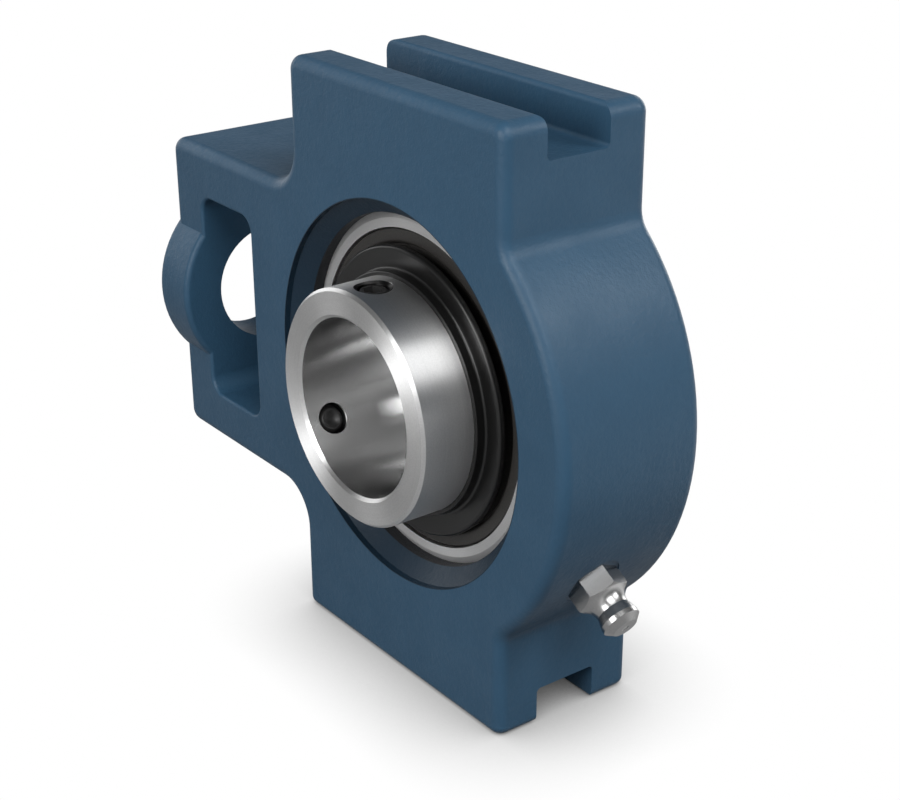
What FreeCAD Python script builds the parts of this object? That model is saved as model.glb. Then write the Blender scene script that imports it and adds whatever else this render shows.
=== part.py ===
import FreeCAD, Part
import math
import os
from FreeCAD import Placement, Rotation, Vector

# Take up bearing unit for a 30 mm shaft. A cast housing with two guide grooves and a screw block
# carries an insert ball bearing that can swivel in a spherical seat. Millimetres.
# Origin: centre of the bearing. +X: away from the take up screw. -Y: the side of the locking
# screws. +Z: up. The housing stands on its lower guide lands.

# Insert bearing
SHAFT_D = 30.0
OUTER_D = 62.0              # spherical outside
OUTER_WIDTH = 18.0
OUTER_CHAMFER = 0.6
BALL_D = 9.525
BALL_COUNT = 9
BALL_PLAY = 0.02            # gap between a ball and each raceway
OUTER_RACE_DEPTH = 1.58     # bottom of the raceway to the shoulder beside it
INNER_RACE_DEPTH = 1.63
INNER_LENGTH = 38.1
LOCK_REACH = 22.2           # bearing centre to the end with the locking screws
INNER_CHAMFER = 0.5
BORE_CHAMFER = 0.55
OUTER_RACE_SHARE = 0.52     # groove radius as a share of the ball's diameter
INNER_RACE_SHARE = 0.515

# Seals, each a pressed steel disc with a rubber lip, snapped into the outer ring
SEAL_LEDGE = 0.9            # width of the step in the outer ring that the seal rests on
SEAL_LEDGE_DEPTH = 2.4      # outer ring's end face to that step
SEAL_GROOVE_DEPTH = 0.5
SEAL_GROOVE_WIDTH = 0.8
SEAL_SHEET = 0.7
SEAL_SET_BACK = 0.3         # outer ring's end face to the seal's face
SEAL_RIM = 2.4              # width of the seal's flat rim
SEAL_DISH = 1.0             # depth of the dish inside the rim
LIP_GAP = 0.04

# Flingers, pressed steel discs on the inner ring, outside the seals
FLINGER_SHEET = 0.75
FLINGER_D = 49.2
FLINGER_STAND_OFF = 1.6     # outer ring's end face to the outside of the web
FLINGER_HUB = 1.9           # hub's length beyond the web
FLINGER_DISH = 0.6          # how much further out the web stands at its rim
FLINGER_RIM_GAP = 1.0       # outer ring's end face to the edge of the turned-in rim

# Cage, moulded, with pockets that snap over the balls
CAGE_IN_GAP = 1.15          # inner ring to the cage
CAGE_OUT_GAP = 0.9          # cage to the outer ring's shoulder
CAGE_OPEN_SIDE = 3.0        # middle plane to the side from which the balls snap in
CAGE_BACK_WALL = 1.4        # behind the balls
POCKET_GAP = 0.12

# Locking screws
SCREW_HOLE_D = 5.4          # an M6 fine thread, drawn as a plain hole
SCREW_LENGTH = 4.0
SCREW_PLAY = 0.05           # radial gap in the thread
SCREW_SET_BACK = 0.3        # bore to the screw's point
SCREW_END_GAP = 5.0         # end of the inner ring to the screw's axis
SCREW_ANGLES = (90.0, 210.0)
SOCKET_FLATS = 3.0
SOCKET_DEPTH = 2.0
SCREW_LEAD = 0.4            # chamfer at the socket end
CUP_D = 3.6
CUP_RIM = 0.36
CUP_DEPTH = 1.1
TAP_CHAMFER = 0.5

# Housing outline
HEIGHT = 102.0
BODY_WIDTH = 28.0
LAND_LENGTH = 57.0
ROUND_R = 43.0
BLOCK_REACH = 70.0
BLOCK_HEIGHT = 57.0
BLOCK_CORNER_R = 2.6
LAND_CORNER_R = 2.4
BLOCK_ROOT_R = 7.0
ROUND_ROOT_R = 4.0
EDGE_R = 2.0
BASE_EDGE_R = 1.4

# Guide grooves
GROOVE_WIDTH = 12.0
GROOVE_DEPTH = 6.5
GROOVE_RIM_R = 0.8
GROOVE_FLOOR_R = 0.8

# Screw block
END_WALL = 10.0
BOSS_D = 37.0
BOSS_RIM_R = 1.0
TAKE_UP_HOLE_D = 22.0
WINDOW_LENGTH = 17.0
WINDOW_HEIGHT = 38.6
WINDOW_CORNER_R = 3.0
WINDOW_RIM_R = 0.6

# Bearing seat in the housing
SEAT_PLAY = 0.04            # radial gap between the outer ring and its seat
SEAT_LIP = 1.2              # outer ring's radius to the lip at each side of the seat
SEAT_LIP_SET_BACK = 3.6     # housing face to the lip's edge
MOUTH_SLOPE = 2.8           # lip to the mouth, measured on the radius
MOUTH_WALL = 1.1            # straight part of the mouth, before it slopes in
LOADING_SLOT_PLAY = 0.15

# Lubrication
NIPPLE_ANGLE = -30.5
NIPPLE_Y = -2.2
SPOT_FACE_D = 10.0
SPOT_FACE_DEPTH = 0.3
GREASE_GROOVE_WIDTH = 3.6
GREASE_GROOVE_DEPTH = 1.0
GREASE_DRILL_D = 2.5
NIPPLE_THREAD_D = 6.35
NIPPLE_THREAD_LENGTH = 5.5
NIPPLE_THREAD_LEAD = 0.6
TAP_DEPTH = 7.0
NIPPLE_FLATS = 7.7
NIPPLE_HEX = 3.6
NIPPLE_NECK_D = 5.6
NIPPLE_NECK_END = 6.0
NIPPLE_NECK_SAG = 0.3       # how hollow the neck's flank is
NIPPLE_HEAD_D = 6.5
NIPPLE_HEAD_START = 7.6
NIPPLE_RIM = 0.8
NIPPLE_TIP_D = 4.2
NIPPLE_LENGTH = 9.4
NIPPLE_MOUTH_D = 1.2
NIPPLE_MOUTH_LIP = 0.15
NIPPLE_CHAMBER_D = 2.5
NIPPLE_CHAMBER_FLOOR = 1.0
NIPPLE_PASSAGE_D = 1.6
CHECK_BALL_D = 2.0
CHECK_BALL_GAP = 0.02
SPRING_WIRE_D = 0.3
SPRING_D = 2.0
SPRING_TURNS = 5
SPRING_GAP = 0.05
RING_HOLE_D = 1.8
RING_HOLE_ANGLES = (150.0, 270.0)
RING_HOLE_SLANT = 30.0
RING_HOLE_START_Y = -2.4

# Worked out from the sizes above
bore_r = SHAFT_D / 2
outer_r = OUTER_D / 2
ball_r = BALL_D / 2
pitch_r = (bore_r + outer_r) / 2
outer_race_r = pitch_r + ball_r + BALL_PLAY
inner_race_r = pitch_r - ball_r - BALL_PLAY
shoulder_r = outer_race_r - OUTER_RACE_DEPTH
inner_r = inner_race_r + INNER_RACE_DEPTH
half_width = OUTER_WIDTH / 2
seal_y = half_width - SEAL_SET_BACK
seal_ledge_y = half_width - SEAL_LEDGE_DEPTH
seal_bead_y = seal_ledge_y + SEAL_GROOVE_WIDTH
seal_seat_r = shoulder_r + SEAL_LEDGE
seal_groove_r = seal_seat_r + SEAL_GROOVE_DEPTH
long_end = -LOCK_REACH
short_end = INNER_LENGTH - LOCK_REACH
seat_r = outer_r + SEAT_PLAY
screw_y = long_end + SCREW_END_GAP
nipple_seat = ROUND_R - SPOT_FACE_DEPTH
Y_AXIS = Vector(0, 1, 0)
ORIGIN = Vector(0, 0, 0)


def face(steps, point):
    """A flat face inside a closed line. A step is a point, or (through, end) for an arc."""
    edges = []
    here = steps[0]
    for step in list(steps[1:]) + [steps[0]]:
        if isinstance(step[0], tuple):
            through, end = step
            edges.append(Part.Arc(point(*here), point(*through), point(*end)).toShape())
            here = end
        else:
            edges.append(Part.LineSegment(point(*here), point(*step)).toShape())
            here = step
    return Part.Face(Part.Wire(edges))


def arc_middle(start, end, sag):
    """The middle of an arc that lies to the left of the line from start to end by sag."""
    length = math.dist(start, end)
    step_u = (end[0] - start[0]) / length
    step_v = (end[1] - start[1]) / length
    return (start[0] + end[0]) / 2 - sag * step_v, (start[1] + end[1]) / 2 + sag * step_u


def turned(steps):
    """A solid of revolution about the shaft axis. Steps are (radius, y)."""
    return face(steps, lambda r, y: Vector(r, y, 0)).revolve(ORIGIN, Y_AXIS, 360)


def spun(steps):
    """A solid of revolution about Z. Steps are (radius, height)."""
    return face(steps, lambda r, h: Vector(r, 0, h)).revolve(ORIGIN, Vector(0, 0, 1), 360)


def radial(shape, angle, radius, y):
    """Turn a shape built along +Z to point outwards at an angle about the shaft axis."""
    out = Vector(math.cos(math.radians(angle)), 0, math.sin(math.radians(angle)))
    placed = shape.copy()
    turn = Placement(out * radius + Vector(0, y, 0), Rotation(Y_AXIS, 90 - angle))
    placed.Placement = turn * shape.Placement
    return placed


def mirrored(shape):
    """The same shape on the other side of the bearing."""
    return shape.mirror(ORIGIN, Y_AXIS)


def hexagon(flats, start, end):
    """A hexagonal bar along Z, with a flat towards +Y."""
    corner_r = flats / math.sqrt(3)
    turns = [math.radians(60 * i) for i in range(7)]
    corners = [Vector(corner_r * math.cos(turn), corner_r * math.sin(turn), start) for turn in turns]
    return Part.Face(Part.makePolygon(corners)).extrude(Vector(0, 0, end - start))


def sphere_half_width(sphere_r, at_r):
    """Distance from the middle plane at which a sphere has the radius at_r."""
    return math.sqrt(sphere_r ** 2 - at_r ** 2)


def edges_along_y(shape, chosen):
    """The edges parallel to Y whose (x, z) the test chosen accepts."""
    found = []
    for edge in shape.Edges:
        if len(edge.Vertexes) == 2 and isinstance(edge.Curve, Part.Line):
            a, b = (v.Point for v in edge.Vertexes)
            if abs(a.x - b.x) + abs(a.z - b.z) < 1e-6 and chosen(a.x, a.z):
                found.append(edge)
    return found


def housing_plate():
    """The body's outline: screw block, guide lands and round end, with its rounded edges."""
    y0 = -BODY_WIDTH / 2
    across = Vector(0, y0, 0)
    block = Part.makeBox(BLOCK_REACH, BODY_WIDTH, BLOCK_HEIGHT, Vector(-BLOCK_REACH, y0, -BLOCK_HEIGHT / 2))
    lands = Part.makeBox(LAND_LENGTH, BODY_WIDTH, HEIGHT, Vector(-LAND_LENGTH / 2, y0, -HEIGHT / 2))
    right_half = Part.makeBox(ROUND_R, BODY_WIDTH, 2 * ROUND_R, Vector(0, y0, -ROUND_R))
    round_end = Part.makeCylinder(ROUND_R, BODY_WIDTH, across, Y_AXIS).common(right_half)
    plate = block.fuse([lands, round_end]).removeSplitter()
    land_x = LAND_LENGTH / 2
    corners = (
        (BLOCK_CORNER_R, lambda x, z: x < -BLOCK_REACH + 0.01),
        (LAND_CORNER_R, lambda x, z: z > HEIGHT / 2 - 0.01),
        (BLOCK_ROOT_R, lambda x, z: abs(x + land_x) < 0.01 and abs(z) < HEIGHT / 2 - 1),
        (ROUND_ROOT_R, lambda x, z: abs(x - land_x) < 0.01 and abs(z) < HEIGHT / 2 - 1),
    )
    for radius, chosen in corners:
        plate = plate.makeFillet(radius, edges_along_y(plate, chosen))
    rims = [e for e in plate.Edges if abs(abs(e.CenterOfMass.y) - BODY_WIDTH / 2) < 1e-6
            and e.CenterOfMass.z > -HEIGHT / 2 + 1e-6]
    plate = plate.makeFillet(EDGE_R, rims)
    base = [e for e in plate.Edges if all(v.Z < -HEIGHT / 2 + 1e-6 for v in e.Vertexes)]
    return plate.makeFillet(BASE_EDGE_R, base)


def window_cutter():
    """The window for the take up nut, with its rounded corners."""
    x0 = -BLOCK_REACH + END_WALL
    depth = BODY_WIDTH + 2
    box = Part.makeBox(WINDOW_LENGTH, depth, WINDOW_HEIGHT, Vector(x0, -depth / 2, -WINDOW_HEIGHT / 2))
    return box.makeFillet(WINDOW_CORNER_R, edges_along_y(box, lambda x, z: True))


def window_rims(plate):
    """The window's edges in the two faces of the body."""
    x0 = -BLOCK_REACH + END_WALL - 0.01
    x1 = x0 + WINDOW_LENGTH + 0.02
    top = WINDOW_HEIGHT / 2 + 0.01
    return [e for e in plate.Edges if abs(abs(e.CenterOfMass.y) - BODY_WIDTH / 2) < 1e-6
            and x0 < e.CenterOfMass.x < x1 and abs(e.CenterOfMass.z) < top
            and all(x0 < v.X < x1 and abs(v.Z) < top for v in e.Vertexes)]


def boss():
    """The round boss that backs the take up screw's head."""
    disc = Part.makeCylinder(BOSS_D / 2, END_WALL, Vector(-BLOCK_REACH, 0, 0), Vector(1, 0, 0))
    rims = [e for e in disc.Edges if isinstance(e.Curve, Part.Circle)]
    return disc.makeFillet(BOSS_RIM_R, rims)


def groove_cutter():
    """The upper guide groove, with rounded floor corners and rims."""
    half = GROOVE_WIDTH / 2
    top = HEIGHT / 2
    floor = top - GROOVE_DEPTH
    bend = 1 - math.sqrt(0.5)
    rim = GROOVE_RIM_R
    root = GROOVE_FLOOR_R
    right = [
        (half - root, floor),
        ((half - root * bend, floor + root * bend), (half, floor + root)),
        (half, top - rim),
        ((half + rim * bend, top - rim * bend), (half + rim, top)),
        (half + rim, top + 1),
    ]
    left = [
        (-half - rim, top + 1),
        (-half - rim, top),
        ((-half - rim * bend, top - rim * bend), (-half, top - rim)),
        (-half, floor + root),
        ((-half + root * bend, floor + root * bend), (-half + root, floor)),
    ]
    start = -LAND_LENGTH / 2 - 1
    section = face(right + left, lambda y, z: Vector(start, y, z))
    return section.extrude(Vector(LAND_LENGTH + 2, 0, 0))


def seat_cutter():
    """The spherical seat and the mouth on each side of it."""
    lip_r = outer_r - SEAT_LIP
    mouth_r = lip_r + MOUTH_SLOPE
    side = BODY_WIDTH / 2
    seat_y = sphere_half_width(seat_r, lip_r)
    lip_y = side - SEAT_LIP_SET_BACK
    slope_y = side - MOUTH_WALL
    return turned([
        (0, -side - 1), (mouth_r, -side - 1), (mouth_r, -slope_y), (lip_r, -lip_y),
        (lip_r, -seat_y), ((seat_r, 0), (lip_r, seat_y)), (lip_r, lip_y),
        (mouth_r, slope_y), (mouth_r, side + 1), (0, side + 1),
    ])


def loading_slots():
    """Two slots in the rear face, through which the insert goes in on edge."""
    half = half_width + LOADING_SLOT_PLAY
    reach = outer_r + LOADING_SLOT_PLAY
    return Part.makeBox(2 * half, BODY_WIDTH / 2 + 1, 2 * reach, Vector(-half, 0, -reach))


def grease_way():
    """The groove in the seat, and the drilled and tapped way in from the nipple."""
    low = NIPPLE_Y - GREASE_GROOVE_WIDTH / 2
    high = NIPPLE_Y + GREASE_GROOVE_WIDTH / 2
    groove_r = seat_r + GREASE_GROOVE_DEPTH
    groove = turned([(outer_r - 1, low), (groove_r, low), (groove_r, high), (outer_r - 1, high)])
    drill = Part.makeCylinder(GREASE_DRILL_D / 2, nipple_seat - outer_r + 1)
    tap = Part.makeCylinder(NIPPLE_THREAD_D / 2, TAP_DEPTH)
    spot = Part.makeCylinder(SPOT_FACE_D / 2, ROUND_R)
    return [
        groove,
        radial(drill, NIPPLE_ANGLE, outer_r - 1, NIPPLE_Y),
        radial(tap, NIPPLE_ANGLE, nipple_seat - TAP_DEPTH, NIPPLE_Y),
        radial(spot, NIPPLE_ANGLE, nipple_seat, NIPPLE_Y),
    ]


def housing():
    """The cast housing."""
    plate = housing_plate().cut(window_cutter())
    plate = plate.makeFillet(WINDOW_RIM_R, window_rims(plate))
    body = plate.fuse(boss())
    hole_start = Vector(-BLOCK_REACH - 1, 0, 0)
    hole = Part.makeCylinder(TAKE_UP_HOLE_D / 2, END_WALL + 2, hole_start, Vector(1, 0, 0))
    upper_groove = groove_cutter()
    lower_groove = upper_groove.mirror(ORIGIN, Vector(0, 0, 1))
    cutters = [hole, upper_groove, lower_groove, seat_cutter(), loading_slots()] + grease_way()
    return body.cut(cutters)


def outer_ring():
    """The insert's outer ring: spherical outside, ball groove and seal seats inside."""
    sphere_y = half_width - OUTER_CHAMFER
    sphere_edge = sphere_half_width(outer_r, sphere_y)
    face_r = sphere_edge - 2 * OUTER_CHAMFER
    race_r = BALL_D * OUTER_RACE_SHARE
    race_y = sphere_half_width(race_r, race_r - OUTER_RACE_DEPTH)
    ring = turned([
        (sphere_edge, -sphere_y), ((outer_r, 0), (sphere_edge, sphere_y)), (face_r, half_width),
        (seal_seat_r, half_width), (seal_seat_r, seal_bead_y), (seal_groove_r, seal_bead_y),
        (seal_groove_r, seal_ledge_y), (shoulder_r, seal_ledge_y), (shoulder_r, race_y),
        ((outer_race_r, 0), (shoulder_r, -race_y)), (shoulder_r, -seal_ledge_y),
        (seal_groove_r, -seal_ledge_y), (seal_groove_r, -seal_bead_y), (seal_seat_r, -seal_bead_y),
        (seal_seat_r, -half_width), (face_r, -half_width),
    ])
    return ring.cut([ring_hole(angle) for angle in RING_HOLE_ANGLES])


def ring_hole(angle):
    """A slanted grease hole that comes out between the raceway and the seal."""
    drill = Part.makeCylinder(RING_HOLE_D / 2, outer_r / 2, Vector(0, 0, -outer_r / 4))
    drill.rotate(ORIGIN, Vector(1, 0, 0), -RING_HOLE_SLANT)
    return radial(drill, angle, outer_r, RING_HOLE_START_Y)


def inner_ring():
    """The insert's inner ring, longer on the side of the locking screws."""
    race_r = BALL_D * INNER_RACE_SHARE
    race_y = sphere_half_width(race_r, race_r - INNER_RACE_DEPTH)
    ring = turned([
        (bore_r, long_end + BORE_CHAMFER), (bore_r + BORE_CHAMFER, long_end),
        (inner_r - INNER_CHAMFER, long_end), (inner_r, long_end + INNER_CHAMFER), (inner_r, -race_y),
        ((inner_race_r, 0), (inner_r, race_y)), (inner_r, short_end - INNER_CHAMFER),
        (inner_r - INNER_CHAMFER, short_end), (bore_r + BORE_CHAMFER, short_end),
        (bore_r, short_end - BORE_CHAMFER),
    ])
    return ring.cut([radial(screw_hole(), angle, 0, screw_y) for angle in SCREW_ANGLES])


def screw_hole():
    """A tapped hole for a locking screw, countersunk at its outer end."""
    tap_r = SCREW_HOLE_D / 2
    start = bore_r - tap_r
    return spun([
        (0, start), (tap_r, start), (tap_r, inner_r - TAP_CHAMFER),
        (tap_r + 2 * TAP_CHAMFER, inner_r + TAP_CHAMFER), (0, inner_r + TAP_CHAMFER),
    ])


def seal():
    """The seal on the locking side: rim bead, flat rim, dish and lip."""
    half_sheet = SEAL_SHEET / 2
    rim_in = seal_seat_r - SEAL_RIM
    dish_y = seal_y - SEAL_DISH
    back_y = seal_y - SEAL_SHEET
    lip_r = inner_r + LIP_GAP
    return turned([
        (seal_groove_r, -seal_ledge_y), (seal_groove_r, -seal_bead_y), (seal_seat_r, -seal_bead_y),
        (seal_seat_r - half_sheet, -seal_y), (rim_in, -seal_y), (rim_in - SEAL_SHEET, -dish_y),
        (lip_r + 2 * SEAL_SHEET, -dish_y), (lip_r, -seal_y), (lip_r, half_sheet - seal_y),
        (lip_r + SEAL_SHEET, -seal_ledge_y), (rim_in - 2 * SEAL_SHEET, -seal_ledge_y),
        (rim_in - SEAL_SHEET, -back_y), (seal_seat_r - 2 * SEAL_SHEET, -back_y),
        (seal_seat_r - 2 * SEAL_SHEET, -seal_ledge_y),
    ])


def flinger():
    """The flinger on the locking side: hub, dished web and turned-in rim."""
    hub_r = inner_r + FLINGER_SHEET
    rim_r = FLINGER_D / 2
    web_y = half_width + FLINGER_STAND_OFF
    hub_y = web_y + FLINGER_HUB
    rim_web_y = web_y + FLINGER_DISH
    rim_y = half_width + FLINGER_RIM_GAP
    bend = FLINGER_SHEET / 2
    sag = bend * (1 - math.sqrt(0.5))
    return turned([
        (inner_r, FLINGER_SHEET - web_y), (inner_r, -hub_y), (hub_r - bend, -hub_y),
        (hub_r, bend - hub_y), (hub_r, -web_y), (rim_r - bend, -rim_web_y),
        ((rim_r - sag, sag - rim_web_y), (rim_r, bend - rim_web_y)), (rim_r, -rim_y),
        (rim_r - FLINGER_SHEET, -rim_y), (rim_r - FLINGER_SHEET, FLINGER_SHEET - rim_web_y),
    ])


def ball_centre(index):
    """Centre of a ball on the pitch circle. The first lies straight above the shaft."""
    angle = math.radians(90 + 360 * index / BALL_COUNT)
    return Vector(pitch_r * math.cos(angle), 0, pitch_r * math.sin(angle))


def ball_shape(index, radius):
    """A sphere at a ball's place, with its poles on the line through the shaft axis."""
    centre = ball_centre(index)
    return Part.makeSphere(radius, centre, Vector(centre))


def cage():
    """The moulded cage: a ring with a spherical pocket for each ball."""
    in_r = inner_r + CAGE_IN_GAP
    out_r = shoulder_r - CAGE_OUT_GAP
    pocket_r = ball_r + POCKET_GAP
    back_y = pocket_r + CAGE_BACK_WALL
    ring = turned([(in_r, -CAGE_OPEN_SIDE), (out_r, -CAGE_OPEN_SIDE), (out_r, back_y), (in_r, back_y)])
    return ring.cut([ball_shape(i, pocket_r) for i in range(BALL_COUNT)])


def locking_screw():
    """A socket set screw with a cup point, built along Z from its point."""
    r = SCREW_HOLE_D / 2 - SCREW_PLAY
    cup_r = CUP_D / 2
    body = spun([
        (0, CUP_DEPTH), (cup_r - CUP_RIM, 0), (cup_r, 0), (r, r - cup_r), (r, SCREW_LENGTH - SCREW_LEAD),
        (r - SCREW_LEAD, SCREW_LENGTH), (0, SCREW_LENGTH),
    ])
    socket = hexagon(SOCKET_FLATS, SCREW_LENGTH - SOCKET_DEPTH, SCREW_LENGTH + 1)
    return body.cut(socket)


def grease_nipple():
    """The nipple, built along Z from its seat: thread, hexagon, neck and coupling head."""
    thread_r = NIPPLE_THREAD_D / 2
    flat_r = NIPPLE_FLATS / 2
    corner_r = NIPPLE_FLATS / math.sqrt(3)
    neck_r = NIPPLE_NECK_D / 2
    head_r = NIPPLE_HEAD_D / 2
    lead = NIPPLE_THREAD_LEAD
    hex_side = NIPPLE_HEX - (corner_r - flat_r) * math.tan(math.radians(30))
    neck_middle = arc_middle((flat_r, NIPPLE_HEX), (neck_r, NIPPLE_NECK_END), NIPPLE_NECK_SAG)
    outside = spun([
        (0, -NIPPLE_THREAD_LENGTH), (thread_r - lead, -NIPPLE_THREAD_LENGTH),
        (thread_r, -NIPPLE_THREAD_LENGTH + lead), (thread_r, 0), (corner_r, 0), (corner_r, hex_side),
        (flat_r, NIPPLE_HEX), (neck_middle, (neck_r, NIPPLE_NECK_END)), (head_r, NIPPLE_HEAD_START),
        (head_r, NIPPLE_HEAD_START + NIPPLE_RIM), (NIPPLE_TIP_D / 2, NIPPLE_LENGTH), (0, NIPPLE_LENGTH),
    ])
    spanner_part = hexagon(NIPPLE_FLATS, 0, NIPPLE_HEX)
    thread_part = Part.makeCylinder(thread_r, NIPPLE_THREAD_LENGTH, Vector(0, 0, -NIPPLE_THREAD_LENGTH))
    head_part = Part.makeCylinder(corner_r, NIPPLE_LENGTH - NIPPLE_HEX, Vector(0, 0, NIPPLE_HEX))
    envelope = spanner_part.fuse([thread_part, head_part])
    return outside.common(envelope).cut(nipple_bore())


def nipple_bore():
    """The nipple's inside: mouth, conical ball seat, spring chamber and passage."""
    mouth_r = NIPPLE_MOUTH_D / 2
    chamber_r = NIPPLE_CHAMBER_D / 2
    passage_r = NIPPLE_PASSAGE_D / 2
    cone_top = NIPPLE_LENGTH - NIPPLE_MOUTH_LIP
    cone_bottom = cone_top - (chamber_r - mouth_r)
    return spun([
        (0, -NIPPLE_THREAD_LENGTH - 1), (passage_r, -NIPPLE_THREAD_LENGTH - 1),
        (passage_r, NIPPLE_CHAMBER_FLOOR), (chamber_r, NIPPLE_CHAMBER_FLOOR), (chamber_r, cone_bottom),
        (mouth_r, cone_top), (mouth_r, NIPPLE_LENGTH + 1), (0, NIPPLE_LENGTH + 1),
    ])


def check_ball_height():
    """Height of the check ball's centre above the nipple's seat, with the ball closed."""
    cone_line = NIPPLE_LENGTH - NIPPLE_MOUTH_LIP + NIPPLE_MOUTH_D / 2
    return cone_line - (CHECK_BALL_D / 2 + CHECK_BALL_GAP) * math.sqrt(2)


def check_spring():
    """The coil that holds the check ball against its seat."""
    coil_r = (SPRING_D - SPRING_WIRE_D) / 2
    wire_r = SPRING_WIRE_D / 2
    bottom = NIPPLE_CHAMBER_FLOOR + wire_r + SPRING_GAP
    touch = CHECK_BALL_D / 2 + wire_r + SPRING_GAP
    top = check_ball_height() - math.sqrt(touch ** 2 - coil_r ** 2)
    length = top - bottom
    helix = Part.makeHelix(length / SPRING_TURNS, length, coil_r)
    section = Part.Wire(Part.makeCircle(wire_r, Vector(coil_r, 0, 0), Y_AXIS))
    coil = Part.Wire(helix.Edges).makePipeShell([section], True, False)
    coil.translate(Vector(0, 0, bottom))
    return coil


def on_nipple(shape):
    """Put a shape, built along Z from the nipple's seat, in its place on the housing."""
    return radial(shape, NIPPLE_ANGLE, nipple_seat, NIPPLE_Y)


def parts():
    """Every piece, by name."""
    pieces = {
        "housing": housing(),
        "outer_ring": outer_ring(),
        "inner_ring": inner_ring(),
        "seal_front": seal(),
        "seal_rear": mirrored(seal()),
        "flinger_front": flinger(),
        "flinger_rear": mirrored(flinger()),
        "cage": cage(),
        "grease_nipple": on_nipple(grease_nipple()),
        "nipple_spring": on_nipple(check_spring()),
        "nipple_check_ball": on_nipple(Part.makeSphere(CHECK_BALL_D / 2, Vector(0, 0, check_ball_height()))),
    }
    for index in range(BALL_COUNT):
        pieces["ball_%d" % (index + 1)] = ball_shape(index, ball_r)
    for number, angle in enumerate(SCREW_ANGLES, 1):
        pieces["locking_screw_%d" % number] = radial(locking_screw(), angle, bore_r + SCREW_SET_BACK, screw_y)
    return pieces


os.makedirs("parts", exist_ok=True)
for name, shape in parts().items():
    solids = shape.Solids
    print("%-18s solids %d valid %s volume %.1f" % (name, len(solids), shape.isValid(), shape.Volume))
    (solids[0] if len(solids) == 1 else shape).exportStep("parts/%s.step" % name)
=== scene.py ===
import math

import bmesh
import bpy
from bpy.props import FloatProperty, FloatVectorProperty, PointerProperty
from bpy.types import Operator, Panel, PropertyGroup
from mathutils import Matrix, Vector


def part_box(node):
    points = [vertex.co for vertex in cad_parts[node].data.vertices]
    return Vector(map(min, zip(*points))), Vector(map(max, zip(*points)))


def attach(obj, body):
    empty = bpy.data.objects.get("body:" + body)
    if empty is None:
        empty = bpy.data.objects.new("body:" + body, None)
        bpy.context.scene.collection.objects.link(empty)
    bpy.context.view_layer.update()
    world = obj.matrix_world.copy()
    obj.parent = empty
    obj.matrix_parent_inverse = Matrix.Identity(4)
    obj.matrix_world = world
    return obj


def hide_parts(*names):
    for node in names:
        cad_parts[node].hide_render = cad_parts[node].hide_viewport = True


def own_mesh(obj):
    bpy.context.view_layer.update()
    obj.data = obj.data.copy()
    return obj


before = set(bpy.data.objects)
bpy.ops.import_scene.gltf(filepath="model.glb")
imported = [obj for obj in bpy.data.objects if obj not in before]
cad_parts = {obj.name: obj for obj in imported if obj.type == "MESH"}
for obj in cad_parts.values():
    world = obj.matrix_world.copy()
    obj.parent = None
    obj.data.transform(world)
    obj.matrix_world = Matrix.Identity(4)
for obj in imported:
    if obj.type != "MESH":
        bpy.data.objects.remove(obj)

bl_info = {
    "name": "Take up bearing unit",
    "version": (1, 0, 0),
    "blender": (4, 5, 0),
    "location": "View3D > Sidebar > Bearing unit",
    "description": "Dresses the frame of a take up bearing unit: cast housing, insert bearing, grease nipple",
    "category": "Object",
}

MM = 0.001
CIRCLE_STEPS = 192              # steps round the seals and the flingers
SCREW_STEPS = 64                # steps round a screw's core
THREAD_STEPS = 48               # steps in one turn of a screw's thread
SHARP = math.radians(35)        # an edge that turns by more than this is sharp
SEAM = 2e-6                     # points closer than this are one point
STRAY = 0.95                    # cosine of the angle beyond which a corner's normal is wrong
FINE_BUMP = 0.01 * MM           # height of tool marks and of a coating's roughness
AXIS = Vector((0, 1, 0))        # the shaft axis

floor_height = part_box("housing")[0].z
inner_ring_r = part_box("inner_ring")[1].x
outer_ring_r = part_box("outer_ring")[1].x
outer_ring_half_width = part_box("outer_ring")[1].y


# The settings

def colour(name, text, default):
    """A colour property, in linear values."""
    return FloatVectorProperty(name=name, description=text, default=default, size=3, min=0, max=1,
                               subtype="COLOR")


def length(name, text, default):
    """A length property, in metres."""
    return FloatProperty(name=name, description=text, default=default, unit="LENGTH", precision=5)


def share(name, text, default):
    """A plain factor between 0 and 1."""
    return FloatProperty(name=name, description=text, default=default, min=0, max=1, subtype="FACTOR")


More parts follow.
